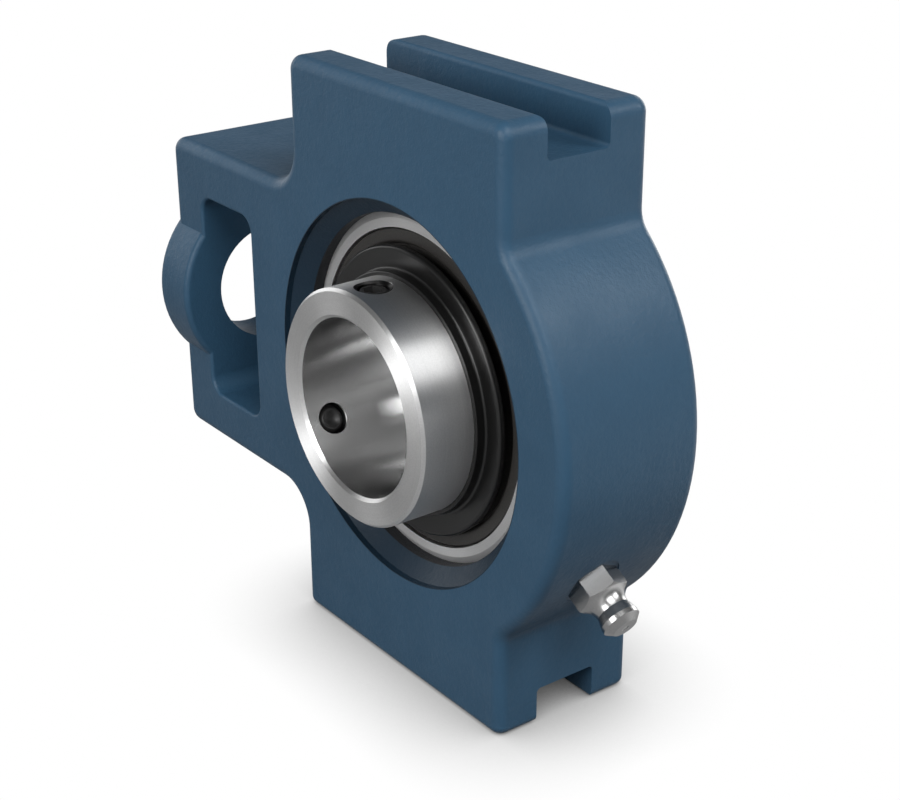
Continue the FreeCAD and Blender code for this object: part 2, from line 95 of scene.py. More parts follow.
class StudioSettings(PropertyGroup):
    camera_place: FloatVectorProperty(
        name="Camera place", description="Where the camera stands", size=3, unit="LENGTH",
        subtype="TRANSLATION", default=(0.21645, -0.16417, 0.11439))
    camera_pitch: FloatProperty(
        name="Pitch", description="How far the camera looks down", unit="ROTATION", subtype="ANGLE",
        default=math.radians(24.81))
    camera_yaw: FloatProperty(
        name="Yaw", description="How far the camera stands round from the front", unit="ROTATION",
        subtype="ANGLE", default=math.radians(52.60))
    focal_length: FloatProperty(
        name="Focal length", description="Lens of the camera, in millimetres", unit="CAMERA", default=70.516)
    shift: FloatVectorProperty(
        name="Shift", description="Offset of the picture from the lens axis", size=2,
        default=(-0.01878, 0.04206))
    floor_size: length("Floor size", "Side of the square floor", 6.0)
    shadow_reach: length("Shadow reach", "How far the soft shadow spreads on the floor", 0.021)
    floor_near: colour("Near floor", "Floor as shiny parts reflect it, in front", (0.37, 0.37, 0.37))
    floor_near_end: length("Near floor's end", "Depth at which the near floor starts to fade", 0.03)
    floor_far: colour("Far floor", "Floor as shiny parts reflect it, behind", (1.0, 1.0, 1.0))
    floor_far_start: length("Far floor's start", "Depth at which the far floor is reached", 0.11)
    floor_bounce: colour("Floor bounce", "Floor as it lights the object", (0.07, 0.07, 0.08))
    room_light: share("Room light", "Even light from all round", 0.085)
    room_mirrored: share("Mirrored room", "Room beside the backdrop as shiny parts reflect it", 0.14)
    backdrop_top: share("Backdrop's top", "Sine of the height where the white backdrop starts to fade", 0.02)
    room_start: share("Room's start", "Sine of the height where the mirrored room is reached", 0.22)


class PaintSettings(PropertyGroup):
    main: colour("Paint", "Main colour of the paint", (0.027, 0.074, 0.129))
    deep: colour("Deep paint", "Colour in the low spots of the cast surface", (0.024, 0.067, 0.118))
    # Painted shade: the near-black blue below stands in for the shade in the recess round the bearing, not for
    # a thinner paint.
    mouth_shade: colour("Mouth paint", "Thin dark paint on the slope round the bearing", (0.005, 0.018, 0.034))
    # Partly painted shade: the bare seat is real, but this near-black tone stands in for the shade on it in
    # the recess.
    iron: colour("Machined iron", "Oiled bare iron in the bearing seat", (0.016, 0.017, 0.020))
    roughness: share("Roughness", "Roughness of the satin paint", 0.45)
    grain: length("Grain", "Size of the cast grain", 0.9 * MM)
    seat_edge: length("Seat edge", "How far the bare seat reaches beyond the outer ring", 1.2 * MM)
    seat_half_width: length("Seat half width", "Middle plane to the edge of the bare seat", 10.45 * MM)
    # Painted shade: how far the near-black blue of the recess's shade reaches beyond the outer ring.
    mouth_shade_edge: length("Mouth edge", "How far the thin dark paint reaches beyond the outer ring", 1.75 * MM)


class InsertSettings(PropertyGroup):
    bore: length("Bore", "Diameter of the bore for the shaft", 30 * MM)
    flinger_sheet: length("Flinger sheet", "Thickness of the flingers", 0.75 * MM)
    flinger_hub: length("Flinger hub", "Length of the hub beyond the web", 1.9 * MM)
    flinger_dish: length("Flinger dish", "How much further out the web stands at its rim", 0.6 * MM)
    rim_gap: length("Rim gap", "Outer ring to the edge of the flinger's rim", 1.0 * MM)
    seal_sheet: length("Seal sheet", "Thickness of the seals", 0.7 * MM)
    seal_rim: length("Seal rim", "Width of the flat rim of the seals", 2.4 * MM)
    seal_dish: length("Seal dish", "Depth of the dish in the seals", 1.0 * MM)
    seal_bead: length("Seal bead", "How far the rim bead stands out", 0.5 * MM)
    seal_bead_length: length("Seal bead length", "Length of the rim bead along the shaft", 0.8 * MM)
    lip_gap: length("Lip gap", "Inner ring to the seal's lip", 0.04 * MM)


class ScrewSettings(PropertyGroup):
    pitch: length("Thread pitch", "Pitch of the fine thread", 0.75 * MM)
    thread_depth: length("Thread depth", "Depth of the thread", 0.42 * MM)
    socket: length("Socket", "Width across the flats of the hexagonal socket", 3.0 * MM)
    socket_depth: length("Socket depth", "Depth of the socket", 2.0 * MM)
    spacing: FloatProperty(
        name="Spacing", description="Angle between the two screws", unit="ROTATION", subtype="ANGLE",
        default=math.radians(120))
    cup: length("Cup", "Diameter of the cup point", 3.6 * MM)
    cup_depth: length("Cup depth", "Depth of the cup point", 1.1 * MM)
    cup_rim: length("Cup rim", "Width of the flat rim round the cup", 0.36 * MM)
    edge_break: length("Edge break", "Small margin that breaks the edges at the core's ends", 0.1 * MM)
    thread_start: length("Thread start", "Cup point to the first turn of the thread", 0.75 * MM)


class NippleSettings(PropertyGroup):
    tilt: FloatProperty(
        name="Tilt", description="How far the nipple points below level", unit="ROTATION", subtype="ANGLE",
        default=math.radians(30.5))
    ball_travel: length("Ball travel", "How far the check ball goes in", 1.0 * MM)


# Small helpers for node trees

def wire(tree, source, target):
    """Join an output, or a plain value, to an input."""
    if isinstance(source, bpy.types.NodeSocket):
        tree.links.new(source, target)
    else:
        target.default_value = source


def maths(tree, operation, *values):
    """A maths node on sockets or numbers."""
    node = tree.nodes.new("ShaderNodeMath")
    node.operation = operation
    for value, socket in zip(values, node.inputs):
        wire(tree, value, socket)
    return node.outputs[0]


def blended(tree, factor, low, high):
    """A colour between low and high."""
    node = tree.nodes.new("ShaderNodeMix")
    node.data_type = "RGBA"
    wire(tree, factor, node.inputs[0])
    wire(tree, low, node.inputs[6])
    wire(tree, high, node.inputs[7])
    return node.outputs[2]


def ramp(tree, value, low, high, from_value=0.0, to_value=1.0):
    """Map a value from one range to another, smoothly and clamped."""
    node = tree.nodes.new("ShaderNodeMapRange")
    node.interpolation_type = "SMOOTHSTEP"
    wire(tree, value, node.inputs[0])
    wire(tree, low, node.inputs[1])
    wire(tree, high, node.inputs[2])
    wire(tree, from_value, node.inputs[3])
    wire(tree, to_value, node.inputs[4])
    return node.outputs[0]


def object_place(tree):
    """The point on the object, in the object's own coordinates."""
    return tree.nodes.new("ShaderNodeTexCoord").outputs["Object"]


def noise(tree, place, scale, detail=2.0, roughness=0.5):
    """Noise of a given scale at a place."""
    node = tree.nodes.new("ShaderNodeTexNoise")
    wire(tree, place, node.inputs["Vector"])
    wire(tree, scale, node.inputs["Scale"])
    node.inputs["Detail"].default_value = detail
    node.inputs["Roughness"].default_value = roughness
    return node.outputs["Fac"]


def new_group(name, inputs, outputs):
    """An empty node group with named float inputs and outputs."""
    tree = bpy.data.node_groups.new(name, "ShaderNodeTree")
    for label, default in inputs:
        socket = tree.interface.new_socket(label, in_out="INPUT", socket_type="NodeSocketFloat")
        socket.default_value = default
    for label in outputs:
        tree.interface.new_socket(label, in_out="OUTPUT", socket_type="NodeSocketFloat")
    return tree, tree.nodes.new("NodeGroupInput"), tree.nodes.new("NodeGroupOutput")


def coordinates(tree, vector):
    """The x, y and z of a vector."""
    parts = tree.nodes.new("ShaderNodeSeparateXYZ")
    wire(tree, vector, parts.inputs[0])
    return tuple(parts.outputs)


def hypotenuse(tree, first, second):
    """The length of the slanted side over two sides at right angles."""
    squares = [maths(tree, "MULTIPLY", side, side) for side in (first, second)]
    return maths(tree, "SQRT", maths(tree, "ADD", *squares))


def cast_surface():
    """Height and tone of a painted cast surface: broad unevenness, a grain and a finer one."""
    tree, given, result = new_group("Cast surface", [("Grain", 0.9 * MM)], ["Height", "Tone"])
    broad_scale, fine_scale = 0.12, 3.5         # against the grain's own
    broad_height, fine_height = 1.5, 0.35       # against the grain's own
    broad_tone, grain_tone = 0.6, 0.4
    place = object_place(tree)
    scale = maths(tree, "DIVIDE", 1.0, given.outputs["Grain"])
    broad = noise(tree, place, maths(tree, "MULTIPLY", scale, broad_scale), detail=3.0)
    grain = noise(tree, place, scale, detail=3.0, roughness=0.6)
    fine = noise(tree, place, maths(tree, "MULTIPLY", scale, fine_scale), roughness=0.6)
    height = maths(tree, "MULTIPLY_ADD", fine, fine_height, grain)
    height = maths(tree, "MULTIPLY_ADD", broad, broad_height, height)
    tone = maths(tree, "MULTIPLY_ADD", broad, broad_tone, maths(tree, "MULTIPLY", grain, grain_tone))
    wire(tree, height, result.inputs["Height"])
    wire(tree, tone, result.inputs["Tone"])
    return tree


def turned_surface():
    """Rings and long streaks of a surface turned about the shaft axis, and 1 on its end faces."""
    tree, given, result = new_group(
        "Turned surface", [("Lines", 9000.0), ("Streak", 60.0)], ["Height", "Face"])
    side_facing, end_facing = 0.6, 0.9          # how far the normal lies along the axis
    x, y, z = coordinates(tree, object_place(tree))
    stretched = tree.nodes.new("ShaderNodeCombineXYZ")
    for value, scale, socket in zip((x, y, z), ("Streak", "Lines", "Streak"), stretched.inputs):
        wire(tree, maths(tree, "MULTIPLY", value, given.outputs[scale]), socket)
    rings = tree.nodes.new("ShaderNodeTexNoise")
    rings.noise_dimensions = "4D"
    wire(tree, stretched.outputs[0], rings.inputs["Vector"])
    wire(tree, maths(tree, "MULTIPLY", hypotenuse(tree, x, z), given.outputs["Lines"]), rings.inputs["W"])
    rings.inputs["Scale"].default_value = 1.0
    rings.inputs["Detail"].default_value = 2.0
    wire(tree, rings.outputs["Fac"], result.inputs["Height"])
    normal = coordinates(tree, tree.nodes.new("ShaderNodeTexCoord").outputs["Normal"])
    facing = maths(tree, "ABSOLUTE", normal[1])
    wire(tree, ramp(tree, facing, side_facing, end_facing), result.inputs["Face"])
    return tree


def speckle():
    """Small light and dark spots, as dust or a fine blasted finish."""
    tree, given, result = new_group("Speckle", [("Size", 0.3 * MM), ("Amount", 0.5)], ["Tone"])
    middle, spread = 0.5, 0.2
    size, amount = given.outputs["Size"], given.outputs["Amount"]
    spots = noise(tree, object_place(tree), maths(tree, "DIVIDE", 1.0, size), roughness=0.7)
    low = maths(tree, "MULTIPLY_ADD", amount, -spread, middle)
    high = maths(tree, "MULTIPLY_ADD", amount, spread, middle)
    wire(tree, ramp(tree, spots, low, high), result.inputs["Tone"])
    return tree


def distance_from_shaft():
    """Radius about the shaft axis and distance from the middle plane."""
    tree, _, result = new_group("Shaft distance", [], ["Radius", "Side"])
    x, y, z = coordinates(tree, object_place(tree))
    wire(tree, hypotenuse(tree, x, z), result.inputs["Radius"])
    wire(tree, maths(tree, "ABSOLUTE", y), result.inputs["Side"])
    return tree


def screw_holes():
    """1 on the walls of the two holes for the locking screws and the slope at their mouths, where the ring is
    painted near-black as shade.
    """
    tree, _, result = new_group("Screw holes", [], ["Mask"])
    low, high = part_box("locking_screw_1")
    wall_r = high.x + 0.5 * MM                  # takes in the wall and the slope at its mouth
    x, y, z = coordinates(tree, object_place(tree))
    along = maths(tree, "SUBTRACT", y, (low.y + high.y) / 2)
    mask = 0.0
    for turn in (0.0, bpy.context.scene.takeup_screws.spacing):
        out = maths(tree, "SUBTRACT", maths(tree, "MULTIPLY", z, math.cos(turn)),
                    maths(tree, "MULTIPLY", x, math.sin(turn)))
        aside = maths(tree, "ADD", maths(tree, "MULTIPLY", x, math.cos(turn)),
                      maths(tree, "MULTIPLY", z, math.sin(turn)))
        near = maths(tree, "LESS_THAN", hypotenuse(tree, along, aside), wall_r)
        this_side = maths(tree, "GREATER_THAN", out, 0.0)
        mask = maths(tree, "MAXIMUM", mask, maths(tree, "MULTIPLY", near, this_side))
    wire(tree, mask, result.inputs["Mask"])
    return tree


shared_groups = {}


def group_node(tree, builder, **values):
    """Place a shared node group, built the first time it is asked for."""
    name = builder.__name__
    if name not in shared_groups:
        shared_groups[name] = builder()
    node = tree.nodes.new("ShaderNodeGroup")
    node.node_tree = shared_groups[name]
    for label, value in values.items():
        wire(tree, value, node.inputs[label])
    return node.outputs


def new_material(name, **values):
    """A material with a Principled shader and the given constants."""
    material = bpy.data.materials.new(name)
    material.use_nodes = True
    shader = material.node_tree.nodes["Principled BSDF"]
    for label, value in values.items():
        shader.inputs[label.replace("_", " ")].default_value = value
    return material, material.node_tree, shader


def bumped(tree, shader, height, strength, distance):
    """Feed a height to the shader's normal."""
    bump = tree.nodes.new("ShaderNodeBump")
    bump.inputs["Strength"].default_value = strength
    bump.inputs["Distance"].default_value = distance
    wire(tree, height, bump.inputs["Height"])
    wire(tree, bump.outputs["Normal"], shader.inputs["Normal"])


def grey(value):
    """A neutral colour."""
    return (value, value, value)


def opaque(rgb):
    """A colour with full alpha."""
    return (*rgb, 1.0)


def housing_paint(paint):
    """Blue satin paint on cast iron, bare and turned in the bearing seat, with painted shade in the recess
    round the bearing and on the seat.
    """
    material, tree, shader = new_material("housing_paint", Specular_IOR_Level=0.30)
    tone_low, tone_high = 0.3, 0.7              # where the cast surface is darkest and lightest
    rough_change = 0.05
    iron_metallic = 0.4                         # oiled iron, not polished
    cast = group_node(tree, cast_surface, Grain=paint.grain)
    rings = group_node(tree, turned_surface)
    shaft = group_node(tree, distance_from_shaft)
    inside = maths(tree, "LESS_THAN", shaft["Radius"], outer_ring_r + paint.seat_edge)
    middle = maths(tree, "LESS_THAN", shaft["Side"], paint.seat_half_width)
    bare = maths(tree, "MULTIPLY", inside, middle)
    spots = ramp(tree, cast["Tone"], tone_low, tone_high)
    painted = blended(tree, spots, opaque(paint.deep), opaque(paint.main))
    # Painted shade: inside the mouth's edge the paint turns near-black, standing in for the shade in the
    # recess.
    in_mouth_shade = maths(tree, "LESS_THAN", shaft["Radius"], outer_ring_r + paint.mouth_shade_edge)
    painted = blended(tree, in_mouth_shade, painted, opaque(paint.mouth_shade))
    # Painted shade: the bare seat's real iron gets a near-black tone that stands in for the shade in the
    # recess.
    wire(tree, blended(tree, bare, painted, opaque(paint.iron)), shader.inputs["Base Color"])
    wire(tree, maths(tree, "MULTIPLY", bare, iron_metallic), shader.inputs["Metallic"])
    rough = ramp(tree, cast["Tone"], tone_low, tone_high, paint.roughness + rough_change,
                 paint.roughness - rough_change)
    wire(tree, rough, shader.inputs["Roughness"])
    lines = maths(tree, "MULTIPLY", rings["Height"], bare)
    under_paint = maths(tree, "SUBTRACT", 1.0, bare)
    height = maths(tree, "MULTIPLY_ADD", cast["Height"], under_paint, lines)
    bumped(tree, shader, height, strength=0.8, distance=0.10 * MM)
    return material


def bore_and_holes(tree, bore_r, shown, rough, rough_side):
    """A ring's colour and roughness with a smoother bore whose lower grey is painted shade, and screw holes
    painted near-black as shade.
    """
    # Painted shade: the near-black hole tone stands in for the shade in the screw holes.
    bore_shade_tone, hole_shade_tone = grey(0.52), grey(0.03)
    smoother = 0.7                              # the bore's roughness against the other sides'
    bore_edge = bore_r + 0.05 * MM
    hole_start = bore_r + 0.4 * MM
    shaft = group_node(tree, distance_from_shaft)
    in_bore = maths(tree, "LESS_THAN", shaft["Radius"], bore_edge)
    # Painted shade: the bore turns a lower grey, standing in for the dark reflections inside it.
    shown = blended(tree, in_bore, shown, opaque(bore_shade_tone))
    rough = ramp(tree, in_bore, 0.0, 1.0, rough, rough_side * smoother)
    beyond_bore = maths(tree, "GREATER_THAN", shaft["Radius"], hole_start)
    # Painted shade: the walls of the screw holes and the slope round them turn near-black.
    in_hole_shade = maths(tree, "MULTIPLY", group_node(tree, screw_holes)["Mask"], beyond_bore)
    return blended(tree, in_hole_shade, shown, opaque(hole_shade_tone)), rough


def turned_steel(name, light, dark, rough_face, rough_side, bore_r=0.0):
    """Steel turned or ground about the shaft axis, matt on its end faces."""
    material, tree, shader = new_material(name, Metallic=1.0, Anisotropic=0.85, Anisotropic_Rotation=0.25)
    dots_share, rings_share = 0.35, 0.65        # of the tone
    rings = group_node(tree, turned_surface)
    dots = group_node(tree, speckle, Size=0.25 * MM, Amount=0.8)
    tone = maths(tree, "MULTIPLY_ADD", dots["Tone"], dots_share,
                 maths(tree, "MULTIPLY", rings["Height"], rings_share))
    shown = blended(tree, tone, opaque(dark), opaque(light))
    rough = ramp(tree, rings["Face"], 0.0, 1.0, rough_side, rough_face)
    if bore_r:
        shown, rough = bore_and_holes(tree, bore_r, shown, rough, rough_side)
    wire(tree, shown, shader.inputs["Base Color"])
    wire(tree, rough, shader.inputs["Roughness"])
    bumped(tree, shader, rings["Height"], strength=0.25, distance=FINE_BUMP)
    around = tree.nodes.new("ShaderNodeTangent")
    around.direction_type = "RADIAL"
    around.axis = "Y"
    wire(tree, around.outputs[0], shader.inputs["Tangent"])
    return material


def plain_finish(name, light, dark, size, roughness, bump=0.2, **values):
    """A finish with a fine speckle in its colour and, where it has a bump, in its surface."""
    material, tree, shader = new_material(name, **values)
    dots = group_node(tree, speckle, Size=size)
    wire(tree, blended(tree, dots["Tone"], opaque(dark), opaque(light)), shader.inputs["Base Color"])
    shader.inputs["Roughness"].default_value = roughness
    if bump:
        bumped(tree, shader, dots["Tone"], strength=bump, distance=FINE_BUMP)
    return material


def all_materials(paint, insert):
    """Every finish of the unit, by the name of its slot."""
    steels = {
        "ring_steel": dict(light=grey(0.72), dark=grey(0.58), rough_face=0.58, rough_side=0.38,
                           bore_r=insert.bore / 2),
        "outer_ring_steel": dict(light=grey(0.96), dark=grey(0.86), rough_face=0.50, rough_side=0.28),
    }
    plain_ones = {
        "ball_steel": dict(light=grey(0.62), dark=grey(0.58), size=0.4 * MM, roughness=0.10, bump=0.05,
                           Metallic=1.0),
        "seal_rubber": dict(light=(0.030, 0.028, 0.026), dark=(0.018, 0.017, 0.016), size=0.3 * MM,
                            roughness=0.5),
        "flinger_black": dict(light=grey(0.006), dark=grey(0.006), size=0.3 * MM, roughness=0.28, bump=0.0,
                              Specular_IOR_Level=0.40),
        "cage_plastic": dict(light=(0.70, 0.64, 0.50), dark=(0.60, 0.54, 0.41), size=0.6 * MM, roughness=0.5),
        "nipple_zinc": dict(light=grey(0.40), dark=grey(0.36), size=0.25 * MM, roughness=0.27, bump=0.0,
                            Metallic=1.0),
        "spring_steel": dict(light=grey(0.5), dark=grey(0.4), size=0.1 * MM, roughness=0.3, bump=0.1,
                             Metallic=1.0),
        "screw_black": dict(light=grey(0.020), dark=grey(0.012), size=0.2 * MM, roughness=0.38),
    }
    made = {"housing_paint": housing_paint(paint)}
    for slot, values in steels.items():
        made[slot] = turned_steel(slot, **values)
    for slot, values in plain_ones.items():
        made[slot] = plain_finish(slot, **values)
    return made


finishes = {}


def finish_of(slot):
    """The material of a slot, made when it is first needed."""
    if not finishes:
        scene = bpy.context.scene
        finishes.update(all_materials(scene.takeup_paint, scene.takeup_insert))
    return finishes[slot]


# Small helpers for meshes

def handed_over(name, mesh, body, slot, *nodes):
    """An object for a mesh, in place of its nodes and on its body."""
    piece = bpy.data.objects.new(name, mesh)
    bpy.context.scene.collection.objects.link(piece)
    mesh.materials.append(finish_of(slot))
    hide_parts(*nodes)
    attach(piece, body)
    return piece


def new_piece(name, shape, body, slot, *nodes):
    """Make an object of a bmesh, finish its shading and hand it to its body."""
    for face in shape.faces:
        face.smooth = True
    for edge in shape.edges:
        if len(edge.link_faces) == 2:
            edge.smooth = edge.calc_face_angle(0) < SHARP
    mesh = bpy.data.meshes.new(name)
    shape.to_mesh(mesh)
    shape.free()
    piece = handed_over(name, mesh, body, slot, *nodes)
    weights = piece.modifiers.new("Face weights", "WEIGHTED_NORMAL")
    weights.keep_sharp = True


def corners_of(source, face):
    """The place and the normal of each corner of a mesh's face."""
    return [(source.vertices[source.loops[index].vertex_index].co, source.corner_normals[index].vector)
            for index in face.loop_indices]


def closed_copy(node, name):
    """A closed copy of a node's mesh with the node's own normals, and the few stray ones set right."""
    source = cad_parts[node].data
    shape = bmesh.new()
    shape.from_mesh(source)
    origin = shape.faces.layers.int.new("origin")
    for face in shape.faces:
        face[origin] = face.index
    bmesh.ops.remove_doubles(shape, verts=shape.verts[:], dist=SEAM)
    mesh = bpy.data.meshes.new(name)
    shape.to_mesh(mesh)
    shape.free()
    normals = []
    for face, old in zip(mesh.polygons, mesh.attributes["origin"].data):
        corners = corners_of(source, source.polygons[old.value])
        for vertex in face.vertices:
            place = mesh.vertices[vertex].co
            normal = min(corners, key=lambda corner: (corner[0] - place).length)[1]
            kept = normal if normal.dot(face.normal) > STRAY else face.normal
            normals.append(kept.copy())
    mesh.attributes.remove(mesh.attributes["origin"])
    mesh.normals_split_custom_set(normals)
    return mesh


def dress(node):
    """Give a node that keeps its mesh its better finish."""
    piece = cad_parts[node]
    slot = piece.data.materials[0].name
    piece.material_slots[0].material = finish_of(slot)


def outline(points, bends, segments):
    """A closed outline of points, with bends (corner, radius in millimetres)."""
    shape = bmesh.new()
    corners = [shape.verts.new(point) for point in points]
    shape.faces.new(corners)
    for index, radius in bends:
        bmesh.ops.bevel(shape, geom=[corners[index]], offset=radius * MM, affect="VERTICES", segments=segments,
                        profile=0.5, material=-1)
    bmesh.ops.delete(shape, geom=shape.faces[:], context="FACES_ONLY")
    return shape


def turned(points, bends):
    """A closed bmesh turned about the shaft axis, from points (radius, y)."""
    shape = outline([(r, y, 0) for r, y in points], bends, segments=5)
    bmesh.ops.spin(shape, geom=shape.verts[:] + shape.edges[:], cent=(0, 0, 0), axis=AXIS, angle=math.tau,
                   steps=CIRCLE_STEPS, use_merge=True)
    bmesh.ops.recalc_face_normals(shape, faces=shape.faces[:])
    return shape


def seal_outline(insert, inner_r, groove_r, out, back):
    """The seal's section: rim bead, flat rim, dish and lip. Outwards from the bearing is positive."""
    sheet = insert.seal_sheet
    bead_end = back + insert.seal_bead_length
    seat_r = groove_r - insert.seal_bead
    rim_in = seat_r - insert.seal_rim
    dish = out - insert.seal_dish
    lip_r = inner_r + insert.lip_gap
    points = [
        (groove_r, back), (groove_r, bead_end), (seat_r, bead_end), (seat_r - sheet / 2, out),
        (rim_in, out), (rim_in - sheet, dish), (lip_r + 2 * sheet, dish), (lip_r, out),
        (lip_r, out - sheet / 2), (lip_r + sheet, back), (rim_in - 2 * sheet, back),
        (rim_in - sheet, out - sheet), (seat_r - 2 * sheet, out - sheet), (seat_r - 2 * sheet, back),
    ]
    bends = ((0, 0.2), (1, 0.25), (3, 0.15), (4, 0.3), (5, 0.3), (6, 0.3), (7, 0.06), (8, 0.1), (9, 0.15))
    return points, bends


def flinger_outline(insert, inner_r, rim_r, hub_end, rim_edge):
    """The flinger's section, pressed from sheet: hub, dished web and turned-in rim."""
    sheet = insert.flinger_sheet
    web = hub_end - insert.flinger_hub
    rim_web = web + insert.flinger_dish
    points = [
        (inner_r, web - sheet), (inner_r, hub_end), (inner_r + sheet, hub_end), (inner_r + sheet, web),
        (rim_r, rim_web), (rim_r, rim_edge), (rim_r - sheet, rim_edge), (rim_r - sheet, rim_web - sheet),
    ]
    bends = ((1, 0.08), (2, 0.25), (3, 0.55), (4, 0.75), (5, 0.12), (6, 0.12), (7, 0.2))
    return points, bends


def on_side(points, side):
    """Points given by their distance outwards, on one side of the bearing."""
    return [(r, side * out) for r, out in points]


def hexagonal_prism(flats, start, end):
    """A closed hexagonal bar along Z."""
    shape = bmesh.new()
    bmesh.ops.create_cone(shape, cap_ends=True, segments=6, radius1=flats / math.sqrt(3),
                          radius2=flats / math.sqrt(3), depth=end - start)
    bmesh.ops.translate(shape, verts=shape.verts[:], vec=(0, 0, (start + end) / 2))
    return shape


def loose_object(name, shape):
    """An object for a bmesh that is only used on the way."""
    mesh = bpy.data.meshes.new(name)
    shape.to_mesh(mesh)
    shape.free()
    made = bpy.data.objects.new(name, mesh)
    bpy.context.scene.collection.objects.link(made)
    return made


def cut(shape, cutter):
    """The first bmesh less the second."""
    body = loose_object("body", shape)
    tool = loose_object("tool", cutter)
    less = body.modifiers.new("Cut", "BOOLEAN")
    less.operation = "DIFFERENCE"
    less.object = tool
    less.solver = "EXACT"
    bpy.context.view_layer.update()
    result = bmesh.new()
    evaluated = body.evaluated_get(bpy.context.evaluated_depsgraph_get())
    result.from_mesh(evaluated.to_mesh())
    evaluated.to_mesh_clear()
    for made in (body, tool):
        bpy.data.objects.remove(made)
    return result


def spun_about_z(points, bends):
    """A closed bmesh turned about Z, from points (radius, height) that start and end on the axis."""
    shape = outline([(r, 0, h) for r, h in points], bends, segments=4)
    on_axis = [edge for edge in shape.edges if all(abs(vert.co.x) < SEAM for vert in edge.verts)]
    bmesh.ops.delete(shape, geom=on_axis, context="EDGES")
    bmesh.ops.spin(shape, geom=shape.verts[:] + shape.edges[:], cent=(0, 0, 0), axis=(0, 0, 1), angle=math.tau,
                   steps=SCREW_STEPS, use_merge=True)
    bmesh.ops.remove_doubles(shape, verts=shape.verts[:], dist=SEAM)
    bmesh.ops.recalc_face_normals(shape, faces=shape.faces[:])
    return shape


def thread_ridge(root_r, crest_r, start, end, pitch):
    """One turn after another of a thread's ridge, closed at both ends."""
    crest_start, crest_end = pitch * 0.45, pitch * 0.55
    sunk = root_r - (crest_r - root_r) / 2      # its foot lies inside the core
    shape = bmesh.new()
    points = ((sunk, start), (crest_r, start + crest_start), (crest_r, start + crest_end),
              (sunk, start + pitch))
    section = shape.faces.new([shape.verts.new((r, 0, h)) for r, h in points])
    turns = (end - start) / pitch - 1
    count = round(turns * THREAD_STEPS)
    bmesh.ops.spin(shape, geom=[section], cent=(0, 0, 0), axis=(0, 0, 1),
                   angle=math.tau * count / THREAD_STEPS, steps=count, dvec=(0, 0, pitch / THREAD_STEPS))
    bmesh.ops.recalc_face_normals(shape, faces=shape.faces[:])
    return shape


def screw_shape(screw, radius, reach):
    """A socket set screw along Z from its cup point."""
    cup_r = screw.cup / 2
    root_r = radius - screw.thread_depth
    point_length = root_r - cup_r + screw.edge_break
    past_end = reach + 1 * MM                   # the socket's cutter stands out of the screw's end
    core = spun_about_z(
        [(0, screw.cup_depth), (cup_r - screw.cup_rim, 0), (cup_r, 0), (root_r, point_length),
         (root_r, reach - screw.thread_depth), (root_r - screw.edge_break, reach), (0, reach)],
        bends=((1, 0.06), (2, 0.08), (5, 0.08)))
    core = cut(core, hexagonal_prism(screw.socket, reach - screw.socket_depth, past_end))
    ridge = thread_ridge(root_r, radius, screw.thread_start, reach - screw.edge_break, screw.pitch)
    mesh = bpy.data.meshes.new("ridge")
    ridge.to_mesh(mesh)
    ridge.free()
    core.from_mesh(mesh)
    bpy.data.meshes.remove(mesh)
    return core


# The operators

class BuildOperator:
    """What the build operators share."""
    bl_options = {"REGISTER", "UNDO"}


class TAKEUP_OT_stage(BuildOperator, Operator):
    """Make the camera, the floor and the studio light"""
    bl_idname = "takeup.stage"
    bl_label = "Stage"

    def execute(self, context):
        studio = context.scene.takeup_studio
        make_camera(context.scene, studio)
        make_floor(studio)
        make_world(context.scene, studio)
        make_lamps()
        context.scene.view_settings.view_transform = "Standard"
        return {"FINISHED"}


def make_camera(scene, studio):
    """The camera at the photograph's viewing angle."""
    lens = bpy.data.cameras.new("camera")
    lens.sensor_width = 36
    lens.lens = studio.focal_length
    lens.shift_x, lens.shift_y = studio.shift
    lens.clip_start = 0.01
    camera = bpy.data.objects.new("camera", lens)
    camera.location = studio.camera_place
    camera.rotation_euler = (math.pi / 2 - studio.camera_pitch, 0, studio.camera_yaw)
    scene.collection.objects.link(camera)
    scene.camera = camera


def seen_as(tree, lit, mirrored, shown):
    """One colour for light that is scattered, one for reflections and one for the camera."""
    path = tree.nodes.new("ShaderNodeLightPath").outputs
    shiny = blended(tree, path["Is Glossy Ray"], lit, mirrored)
    straight = maths(tree, "MAXIMUM", path["Is Camera Ray"], path["Is Transmission Ray"])
    return blended(tree, straight, shiny, shown)


def make_floor(studio):
    """The floor: a soft shadow where it is seen, and its own tones where it lights or is mirrored."""
    shape = bmesh.new()
    bmesh.ops.create_grid(shape, x_segments=1, y_segments=1, size=studio.floor_size / 2)
    bmesh.ops.translate(shape, verts=shape.verts[:], vec=(0, 0, floor_height))
    mesh = bpy.data.meshes.new("floor")
    shape.to_mesh(mesh)
    shape.free()
    floor = bpy.data.objects.new("floor", mesh)
    bpy.context.scene.collection.objects.link(floor)
    material, tree, shader = new_material("floor", Roughness=0.9, Specular_IOR_Level=0.0)
    depth = coordinates(tree, object_place(tree))[1]
    further = ramp(tree, depth, studio.floor_near_end, studio.floor_far_start)
    mirrored = blended(tree, further, opaque(studio.floor_near), opaque(studio.floor_far))
    tone = seen_as(tree, opaque(studio.floor_bounce), mirrored, opaque(grey(0.0)))
    wire(tree, tone, shader.inputs["Base Color"])
    soft_shadow = tree.nodes.new("ShaderNodeAmbientOcclusion")
    soft_shadow.inputs["Distance"].default_value = studio.shadow_reach
    black = opaque(grey(0.0))
    shown = seen_as(tree, black, black, soft_shadow.outputs["Color"])
    wire(tree, shown, shader.inputs["Emission Color"])
    shader.inputs["Emission Strength"].default_value = 1.0
    mesh.materials.append(material)


